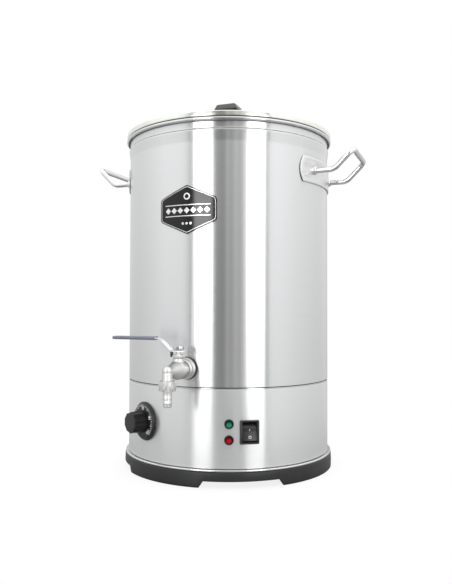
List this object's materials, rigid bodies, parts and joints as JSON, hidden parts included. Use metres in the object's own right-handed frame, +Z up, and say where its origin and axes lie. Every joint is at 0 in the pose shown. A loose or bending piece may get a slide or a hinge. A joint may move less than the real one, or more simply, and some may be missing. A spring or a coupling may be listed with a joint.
{
  "type": "brew kettle",
  "caption": "Electric stainless brew kettle with glass lid, side handles, thermostat dial, pilot lamps, rocker switch, black foot ring and a lever ball tap.",
  "frame": {"origin": "on the surface it stands on, below the middle of the bounding box; the vessel axis is 24.0 mm behind it, towards +Y", "axes": "+Z up along the vessel axis, -Y towards the tap and badge, X through both handles"},
  "size_m": [0.4074, 0.388, 0.546],
  "materials": {
    "brushed_steel": "brushed around the kettle",
    "polished_steel": "polished stainless",
    "cast_steel": "satin cast stainless",
    "zinc": "bright zinc plate",
    "aluminium": "plain",
    "copper": "drawn copper",
    "black_plastic": "satin moulding",
    "dark_plastic": "semi-gloss moulding",
    "white_plastic": "plain",
    "glass": "clear, slightly green",
    "black_enamel": "gloss black with a silver border",
    "silicone": "matt",
    "vinyl": "dipped vinyl",
    "ptfe": "plain",
    "green_lens": "translucent, faceted",
    "red_lens": "translucent, faceted"
  },
  "bodies": {
    "kettle": {"vessel_wall": "brushed_steel", "vessel_floor": "brushed_steel", "lower_housing": "brushed_steel", "base_pan": "brushed_steel", "foot_ring": "black_plastic", "foot_screw_1": "zinc", "foot_screw_2": "zinc", "foot_screw_3": "zinc", "foot_screw_4": "zinc", "heat_spreader": "aluminium", "heating_element": "cast_steel", "boil_dry_cutout": "white_plastic", "terminal_block": "white_plastic", "cable_gland": "dark_plastic", "cable_gland_nut": "dark_plastic", "handle_plate_left": "polished_steel", "handle_rod_left": "polished_steel", "handle_plate_right": "polished_steel", "handle_rod_right": "polished_steel", "badge_plate": "black_enamel", "tap_washer_outer": "silicone", "tap_washer_inner": "silicone", "tap_backnut": "cast_steel", "tap_inlet": "cast_steel", "tap_body": "cast_steel", "tap_seat_back": "ptfe", "tap_seat_front": "ptfe", "hose_washer": "silicone", "hose_tail": "cast_steel", "hose_nut": "cast_steel", "tap_gland_nut": "cast_steel", "thermostat_body": "white_plastic", "thermostat_screw_lower": "zinc", "thermostat_screw_upper": "zinc", "thermostat_bulb": "copper", "green_lamp_body": "dark_plastic", "green_lamp_lens": "green_lens", "red_lamp_body": "dark_plastic", "red_lamp_lens": "red_lens", "switch_housing": "dark_plastic"},
    "lid": {"lid_glass": "glass", "lid_band": "polished_steel", "lid_knob": "black_plastic", "lid_washer_upper": "silicone", "lid_washer_lower": "silicone", "lid_screw": "zinc"},
    "tap_valve": {"tap_ball": "polished_steel", "tap_stem": "polished_steel", "lever_nut": "polished_steel", "tap_lever": "polished_steel", "lever_sleeve": "vinyl"},
    "thermostat_dial": {"thermostat_knob": "black_plastic", "thermostat_shaft": "zinc"},
    "power_rocker": {"switch_rocker": "dark_plastic"}
  },
  "joints": [
    {"name": "lid_lift", "type": "slide", "parent": "kettle", "child": "lid", "axis": [0, 0, 1], "range_m": [0, 0.12]},
    {"name": "tap_lever_turn", "type": "hinge", "parent": "kettle", "child": "tap_valve", "pos_m": [-0.00184, -0.15197, 0.154], "axis": [0, 0, 1], "range_deg": [0, 90]},
    {"name": "thermostat_turn", "type": "hinge", "parent": "kettle", "child": "thermostat_dial", "pos_m": [-0.07203, -0.10755, 0.0775], "axis": [0.4802, 0.8771, 0], "range_deg": [0, 270]},
    {"name": "power_rocker_tip", "type": "hinge", "parent": "kettle", "child": "power_rocker", "pos_m": [0.07615, -0.10171, 0.072], "axis": [0.8554, 0.518, 0], "range_deg": [0, 18]}
  ]
}
